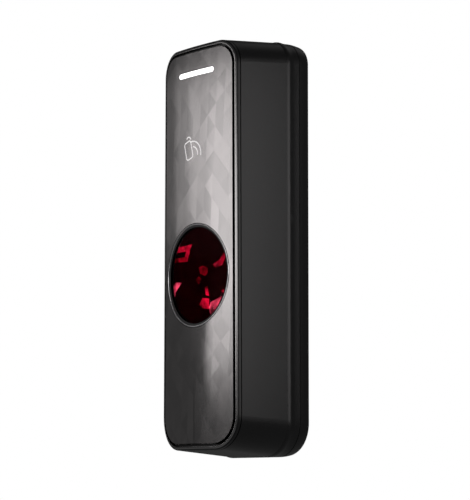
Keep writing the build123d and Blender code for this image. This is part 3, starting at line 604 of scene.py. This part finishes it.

# The bevel runs all round the trim's outer edge, with a small rounding at each end of it.
# Its inner half and the front are bright; its outer half and the walls get the black shell finish as
# painted shade over the bright metal.
BEVEL_TILT = math.degrees(math.atan(BEVEL_DEPTH / BEVEL_WIDTH))
trim_profile = [
    (0, TRIM_SEAT - 0.02, 90),
    (0, TRIM_FRONT + BEVEL_DEPTH + 0.08, 88),
    (0.015, TRIM_FRONT + BEVEL_DEPTH + 0.02, 65),
    (0.06, TRIM_FRONT + BEVEL_DEPTH - 0.02, 34),
    (0.1, TRIM_FRONT + BEVEL_DEPTH * 0.889, BEVEL_TILT),
    (0.45, TRIM_FRONT + BEVEL_DEPTH * 0.5, BEVEL_TILT),
    (0.8, TRIM_FRONT + BEVEL_DEPTH * 0.111, BEVEL_TILT),
    (0.88, TRIM_FRONT + 0.022, 18),
    (0.96, TRIM_FRONT + 0.004, 6),
    (1.02, TRIM_FRONT, 0),
    (TRIM_WIDTH - 0.08, TRIM_FRONT, 0),
    (TRIM_WIDTH - 0.03, TRIM_FRONT + 0.015, -30),
    (TRIM_WIDTH - 0.005, TRIM_FRONT + 0.05, -70),
    (TRIM_WIDTH, TRIM_FRONT + 0.1, -90),
    (TRIM_WIDTH, TRIM_SEAT - 0.02, -90),
]
trim = finished(
    "trim_band", *swept(casing_outline, trim_profile, True), "reader", "trim_frame", "trim"
)
trim.data.materials.append(materials["trim"])
trim.data.materials.append(materials["shell"])
trim_rows = len(trim_profile)
# the outer wall, the bevel's outer half and the inner wall: painted shade in the black shell finish
PAINTED_SHADE_OUTER_ROWS = 5
paint_rows(trim, trim_rows, (*range(PAINTED_SHADE_OUTER_ROWS), trim_rows - 2, trim_rows - 1))


def ring_outline(inset, set_back):
    return circle_outline(RING_RADIUS - inset, WINDOW_Z)


# a chrome bead outside, whose steps go round by equal angles, and a black ledge inside it
BEAD = 0.29
BEAD_BASE = 0.34
BEAD_HEIGHT = 0.32
BEAD_STEP = 15
RING_BACK = 4.6
ring_profile = [(0, RING_BACK, 90)]
for degrees in range(90, -91, -BEAD_STEP):
    angle = math.radians(degrees)
    inset = BEAD - BEAD * math.sin(angle)
    ring_profile.append((inset, BEAD_BASE - BEAD_HEIGHT * math.cos(angle), degrees))
ledge_start = len(ring_profile)
ring_profile += [
    (2 * BEAD, 0.42, -60),
    (2 * BEAD + 0.06, 0.45, 0),
    (RING_RADIUS - WINDOW_RADIUS, 0.46, 0),
    (RING_RADIUS - WINDOW_RADIUS, RING_BACK, -90),
]
ring = finished(
    "sensor_ring_band",
    *swept(ring_outline, ring_profile, True),
    "reader",
    "sensor_ring",
    "ring_chrome",
)
ring.data.materials.append(materials["ring_chrome"])
ring.data.materials.append(materials["black_nylon"])
paint_rows(ring, len(ring_profile), range(ledge_start, len(ring_profile)))


def glass_outline(inset, set_back):
    return circle_outline(WINDOW_RADIUS - SLIP - inset, WINDOW_Z)


covered(
    glass_outline,
    GLASS_EDGE,
    GLASS_FRONT,
    GLASS_BACK,
    "sensor_window_glass",
    "reader",
    "sensor_window",
    "window_glass",
)

# ---- dark prism with a painted red glow and facets that glow as painted reflections --------
FACE_RADIUS = 18.6
FACE = GLASS_BACK + 0.1
FACET = GLASS_BACK + 0.04
FACET_STEP = 0.002  # each facet lies a little in front of the one before, so none coincide
FACET_SINK = 0.026
GLOW_LIMIT = 18.3
PRISM_END = DEPTH - PRISM_BACK - 0.6
DEEP_RED = (0.55, 0.002, 0.02)
CRIMSON = (0.85, 0.006, 0.045)
PINK = (1.0, 0.08, 0.17)
glows = {
    "glow_dim": red_light("glow_dim", DEEP_RED, 0.12),
    "glow_deep": red_light("glow_deep", DEEP_RED, 0.6),
    "glow_red": red_light("glow_red", CRIMSON, 0.75),
    "glow_pink": red_light("glow_pink", PINK, 1.0),
}
# each facet glows by itself: painted red reflections inside the prism, the last one a painted glint
facets = (
    ("glow_red", ((-17, 15), (-4, 12.5), (-6, 10), (-18, 12))),
    ("glow_red", ((-8, 10.5), (-5.5, 10), (-7.5, 6), (-10, 6.5))),
    ("glow_deep", ((-20, 9.5), (-8, 8), (-8, 6), (-20, 7.5))),
    ("glow_pink", ((-17, 15), (-14.5, 14.5), (-15.5, 11.5), (-18, 11.5))),
    ("glow_red", ((9.5, 3.5), (13, 5), (16.5, 8.5), (17.5, 7), (14.5, 3), (11, 2))),
    ("glow_deep", ((0.5, 3), (3, 3.5), (6, 2.5), (6, 0.5), (4.5, -0.5), (1.5, 0.5))),
    ("glow_deep", ((-1.5, -1.5), (0.5, -0.5), (2, -1.5), (0.5, -3.5))),
    ("glow_dim", ((-11.5, -0.5), (-8, -0.5), (-7.5, -1.5), (-11, -1.5))),
    ("glow_pink", ((-21, -5.5), (-18, -2.5), (-16, -1.5), (-11.5, -2), (-16.5, -5.5), (-19, -8))),
    ("glow_red", ((4.5, -5), (6, -4.5), (7, -8.5), (5, -8))),
    ("glow_red", ((3, -9), (7, -9.5), (7, -13.5), (3, -13), (1, -11.5))),
    ("glow_pink", ((14.5, -9), (12.5, -12), (10.5, -15), (8, -16.5), (7, -13), (8, -11))),
    ("glow_red", ((14, -7), (15.5, -6.5), (15.5, -8))),
)


def prism_outline(inset, set_back):
    return circle_outline(FACE_RADIUS - inset, WINDOW_Z)


shoulder = FACE_RADIUS - PRISM_RADIUS
prism_profile = [
    (0.1, FACE, 0),
    (0, FACE + 0.06, 90),
    (0, PRISM_FRONT + 0.12, 90),
    (shoulder, PRISM_FRONT + 0.14, 150),
    (shoulder, DEPTH - PRISM_SHOULDER, 90),
    (FACE_RADIUS - PRISM_REAR_RADIUS, PRISM_END, 120),
]
pieces = [
    swept(prism_outline, prism_profile, False),
    filled([prism_outline(0.1, 0)], FACE),
    flipped(filled([circle_outline(PRISM_REAR_RADIUS, WINDOW_Z)], PRISM_END)),
]
dark_faces = sum(len(piece[2]) for piece in pieces)
paints = [0] * dark_faces
paint_order = list(glows)
for level, (paint, corners) in enumerate(facets):
    outline = []
    for x, z in corners:
        shrink = min(1, GLOW_LIMIT / math.hypot(x, z))
        outline.append(Vector((x * shrink, z * shrink + WINDOW_Z)))
    signed = sum(a.x * b.y - b.x * a.y for a, b in zip(outline, outline[1:] + outline[:1]))
    outline = outline if signed > 0 else outline[::-1]
    height = FACET + FACET_SINK - FACET_STEP * level
    sides = swept(lambda inset, set_back: outline, [(0, height, 45), (0, FACE, 90)], False)
    pieces += [sides, filled([outline], height)]
    paints += [1 + paint_order.index(paint)] * (len(sides[2]) + len(pieces[-1][2]))
prism = finished("sensor_prism_facets", *joined(*pieces), "reader", "sensor_prism", "prism_glass")
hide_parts("window_seal")
prism.data.materials.append(materials["prism_glass"])
for glow in glows.values():
    prism.data.materials.append(glow)
prism.data.polygons.foreach_set("material_index", paints)

# ---- plain tap symbol: a leaning card and three arcs ---------------------------------------
SYMBOL_X = -2.4
SYMBOL_Z = 38.1
STROKE = 0.48
CARD = (4.4, 7.0)
CARD_LEAN = 16
CARD_PLACE = (-1.8, -0.4)
# each arc: the centre's x and z, the radius, and the first and last angle
ARCS = ((0.9, -2.5, 5.4, -5, 100), (0.9, -2.5, 3.3, 0, 82), (-1.9, 3.3, 1.6, 25, 140))


def card_outline(offset):
    half_width = CARD[0] / 2 + offset
    half_height = CARD[1] / 2 + offset
    corners = []
    for x, z in ((-1, -1), (1, -1), (1, 1), (-1, 1)):
        turned = Matrix.Rotation(math.radians(CARD_LEAN), 2) @ Vector(
            (x * half_width, z * half_height)
        )
        corners.append((turned.x + CARD_PLACE[0] + SYMBOL_X, turned.y + CARD_PLACE[1] + SYMBOL_Z))
    return rounded(corners, [1 + offset] * 4, SMALL_STEPS, SMALL_SPACING)


def arc_outline(x, z, radius, start, end):
    """Band along an arc, with round ends."""
    centre = Vector((x + SYMBOL_X, z + SYMBOL_Z))
    first = math.radians(start)
    last = math.radians(end)

    def away(angle, reach):
        return Vector((math.cos(angle), math.sin(angle))) * reach

    def side(steps, reach):
        return [
            centre + away(first + (last - first) * step / ARC_STEPS, reach) for step in steps
        ]

    def end_cap(place, begin):
        middle = centre + away(place, radius)
        turns = (begin + math.pi * step / SMALL_STEPS for step in range(1, SMALL_STEPS))
        return [middle + away(turn, STROKE / 2) for turn in turns]

    outer = side(range(ARC_STEPS + 1), radius + STROKE / 2)
    inner = side(range(ARC_STEPS, -1, -1), radius - STROKE / 2)
    return outer + end_cap(last, last) + inner + end_cap(first, first + math.pi)


SYMBOL_FRONT = PLATE_FRONT - 0.05
SYMBOL_BACK = PLATE_FRONT + 0.02
symbol_edge = [(0, SYMBOL_FRONT, 40), (0, SYMBOL_BACK, 90)]
card_inner = card_outline(-STROKE / 2)
card_outer = card_outline(STROKE / 2)
strokes = [
    swept(lambda inset, set_back: card_outer, symbol_edge, False),
    filled([card_outer, card_inner], SYMBOL_FRONT),
]
for arc in ARCS:
    band = arc_outline(*arc)
    strokes.append(swept(lambda inset, set_back: band, symbol_edge, False))
    strokes.append(filled([band], SYMBOL_FRONT))
symbol = finished("tap_symbol", *joined(*strokes), "reader", None, "light_guide")
# the symbol's print glows by itself: a painted glow
symbol.data.materials.append(glowing("symbol_print_painted_glow", (1.0, 0.97, 0.97), 0.55))

# ---- floor ---------------------------------------------------------------------------------
FLOOR_Z = -0.9
FLOOR_HALF = 2.5
floor_mesh = bpy.data.meshes.new("floor")
floor_corners = [
    (-FLOOR_HALF, -FLOOR_HALF, FLOOR_Z),
    (FLOOR_HALF, -FLOOR_HALF, FLOOR_Z),
    (FLOOR_HALF, FLOOR_HALF, FLOOR_Z),
    (-FLOOR_HALF, FLOOR_HALF, FLOOR_Z),
]
floor_mesh.from_pydata(floor_corners, [], [(0, 1, 2, 3)])
floor = bpy.data.objects.new("floor", floor_mesh)
bpy.context.scene.collection.objects.link(floor)
floor_mesh.materials.append(finish("floor_pale", (0.8, 0.8, 0.8), 0.8, 0.0, 20.0, change=0.01))

# ---- world: white behind the object, dim grey in what it reflects --------------------------
REFLECTED = {"Is Glossy Ray": 0.062, "Is Diffuse Ray": 0.16}
world = bpy.data.worlds.new("studio")
bpy.context.scene.world = world
world.use_nodes = True
tree = world.node_tree
seen = tree.nodes["Background"]
seen.inputs["Color"].default_value = (1, 1, 1, 1)
seen.inputs["Strength"].default_value = 1.0
path = tree.nodes.new("ShaderNodeLightPath")
rest = None
for ray, strength in REFLECTED.items():
    reflected = tree.nodes.new("ShaderNodeBackground")
    reflected.inputs["Color"].default_value = (1, 1, 1, 1)
    reflected.inputs["Strength"].default_value = strength
    choice = tree.nodes.new("ShaderNodeMixShader")
    tree.links.new(path.outputs[ray], choice.inputs["Fac"])
    tree.links.new(rest or seen.outputs["Background"], choice.inputs[1])
    tree.links.new(reflected.outputs["Background"], choice.inputs[2])
    rest = choice.outputs["Shader"]
tree.links.new(rest, tree.nodes["World Output"].inputs["Surface"])
bpy.context.scene.view_settings.view_transform = "Standard"


# ---- soft boxes, placed by azimuth from +X and elevation -----------------------------------
LAMP_COLOUR = (1.0, 0.975, 0.975)


def softbox(name, azimuth, elevation, distance, width, height, radiance, lift=0.0):
    """Area lamp that faces the origin, or a point lift above it."""
    lamp = bpy.data.lights.new(name, "AREA")
    lamp.shape = "RECTANGLE"
    lamp.size = width
    lamp.size_y = height
    lamp.color = LAMP_COLOUR
    lamp.energy = radiance * math.pi * width * height
    box = bpy.data.objects.new(name, lamp)
    bpy.context.scene.collection.objects.link(box)
    around = math.radians(azimuth)
    above = math.radians(elevation)
    away = Vector(
        (math.cos(around) * math.cos(above), math.sin(around) * math.cos(above), math.sin(above))
    )
    box.location = away * distance + Vector((0, 0, lift))
    box.rotation_euler = away.to_track_quat("Z", "Y").to_euler()
    box.visible_camera = False


softbox("key", 242, 6.7, 1.0, 0.56, 0.12, 2.3)
softbox("key_high", 242, 12.5, 1.0, 0.56, 0.085, 2.0)
softbox("key_low", 238, 1.6, 1.0, 0.46, 0.05, 1.8)
softbox("key_middle", 220.5, 10.2, 1.0, 0.2, 0.155, 1.45)
softbox("key_edge", 210, 10.4, 1.0, 0.17, 0.15, 0.7)
softbox("key_left", 197, 10.4, 1.0, 0.26, 0.15, 0.18)
softbox("trim_strip", 290, 6.7, 0.9, 0.5, 0.14, 1.8)
softbox("side_fill", 12, 0, 0.24, 0.13, 0.2, 2.6, lift=0.03)
softbox("rear_top", 100, 50, 1.2, 0.6, 0.6, 0.25)

# ---- camera --------------------------------------------------------------------------------
CAMERA_PLACE = (0.66492, -0.51836, -0.09364)
CAMERA_AZIMUTH = -36.919  # of the camera's back, from +X; the camera doesn't roll
CAMERA_ELEVATION = -6.390
FOCAL_LENGTH = 153.2
SENSOR_WIDTH = 36
lens = bpy.data.cameras.new("camera")
lens.lens = FOCAL_LENGTH
lens.sensor_width = SENSOR_WIDTH
lens.sensor_fit = "AUTO"
lens.clip_start = 0.01
lens.clip_end = 20
camera = bpy.data.objects.new("camera", lens)
around = Matrix.Rotation(math.radians(CAMERA_AZIMUTH + 90), 4, "Z")
tilt = Matrix.Rotation(math.radians(90 - CAMERA_ELEVATION), 4, "X")
camera.matrix_world = Matrix.Translation(CAMERA_PLACE) @ around @ tilt
bpy.context.scene.collection.objects.link(camera)
bpy.context.scene.camera = camera
